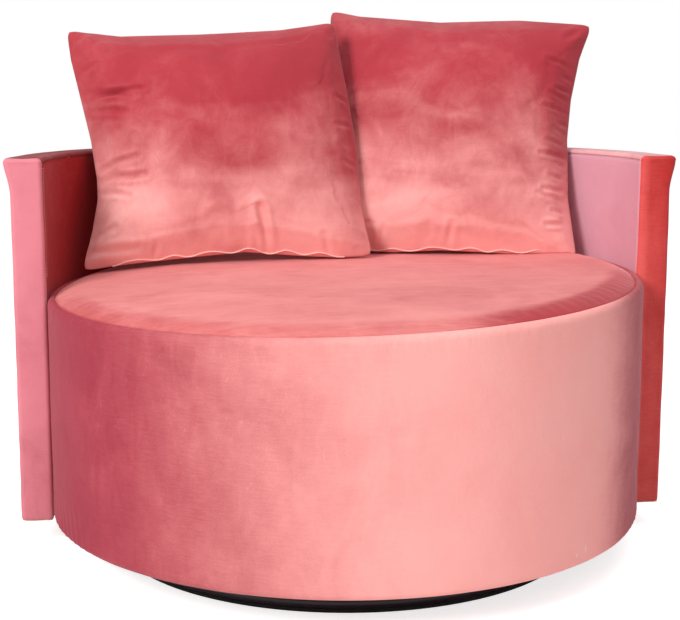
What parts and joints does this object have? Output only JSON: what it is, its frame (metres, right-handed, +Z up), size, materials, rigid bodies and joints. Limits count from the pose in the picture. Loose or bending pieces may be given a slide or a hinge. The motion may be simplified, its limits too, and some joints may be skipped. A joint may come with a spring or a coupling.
{
  "type": "cuddle chair",
  "caption": "Round swivel love seat in coral velvet: drum seat with domed top, low wrap-around back, loose square cushions and a black ring base.",
  "frame": {"origin": "on the swivel axis at floor level, in the middle of the flat underside of the glide strip", "axes": "+Z is up along the swivel axis; -Y is the open front of the seat; +X is to the right as seen from the front; shown with the seat facing -Y"},
  "size_m": [1.2209, 1.1603, 1.0067],
  "materials": {
    "coral_velvet": "matte",
    "cushion_velvet": "matte",
    "foam": "matte",
    "fibre_fill": "matte",
    "timber": "matte",
    "hardboard": "matte",
    "black_ring": "satin",
    "zinc_steel": "satin",
    "bearing_steel": "polished",
    "cage_nylon": "matte",
    "glide_rubber": "matte",
    "webbing": "matte",
    "dust_cloth": "matte",
    "zip_tape": "matte"
  },
  "bodies": {
    "base": {"base_ring": "black_ring", "base_glide_strip": "glide_rubber", "base_cross": "black_ring", "swivel_lower_plate": "zinc_steel", "lower_plate_bolts": "zinc_steel"},
    "bearing": {"bearing_balls": "bearing_steel", "bearing_cage": "cage_nylon"},
    "seat": {"swivel_upper_plate": "zinc_steel", "upper_plate_bolts": "zinc_steel", "swivel_spacer": "timber", "seat_bottom_board": "timber", "seat_posts": "timber", "seat_top_ring": "timber", "seat_webbing": "webbing", "seat_side_board": "hardboard", "seat_side_foam": "foam", "seat_foam": "foam", "seat_side_cover": "coral_velvet", "seat_top_cover": "coral_velvet", "seat_dust_cover": "dust_cloth", "arm_front_covers": "coral_velvet", "back_top_cover": "coral_velvet", "back_inner_cover": "coral_velvet", "back_outer_cover": "coral_velvet", "back_padding": "foam", "back_inner_skin": "hardboard", "back_outer_skin": "hardboard", "back_bottom_rail": "timber", "back_top_rail": "timber", "back_ribs": "timber", "arm_front_boards": "timber", "tie_bolts": "zinc_steel", "tie_tee_nuts": "zinc_steel"},
    "right_cushion": {"right_cushion_cover": "cushion_velvet", "right_cushion_fill": "fibre_fill", "right_cushion_zip": "zip_tape"},
    "left_cushion": {"left_cushion_cover": "cushion_velvet", "left_cushion_fill": "fibre_fill", "left_cushion_zip": "zip_tape"}
  },
  "joints": [
    {"name": "seat_swivel", "type": "hinge", "parent": "base", "child": "seat", "pos_m": [0, 0, 0.05], "axis": [0, 0, 1], "continuous": true},
    {"name": "cage_turn", "type": "hinge", "parent": "base", "child": "bearing", "pos_m": [0, 0, 0.03], "axis": [0, 0, 1], "continuous": true},
    {"name": "right_cushion_lift", "type": "slide", "parent": "seat", "child": "right_cushion", "axis": [0, 0, 1], "range_m": [0, 0.5]},
    {"name": "left_cushion_lift", "type": "slide", "parent": "right_cushion", "child": "left_cushion", "axis": [0, -0.5, 0.866], "range_m": [0, 0.5]}
  ],
  "couplings": [
    {"joint": "cage_turn", "follows": "seat_swivel", "ratio": 0.5}
  ]
}
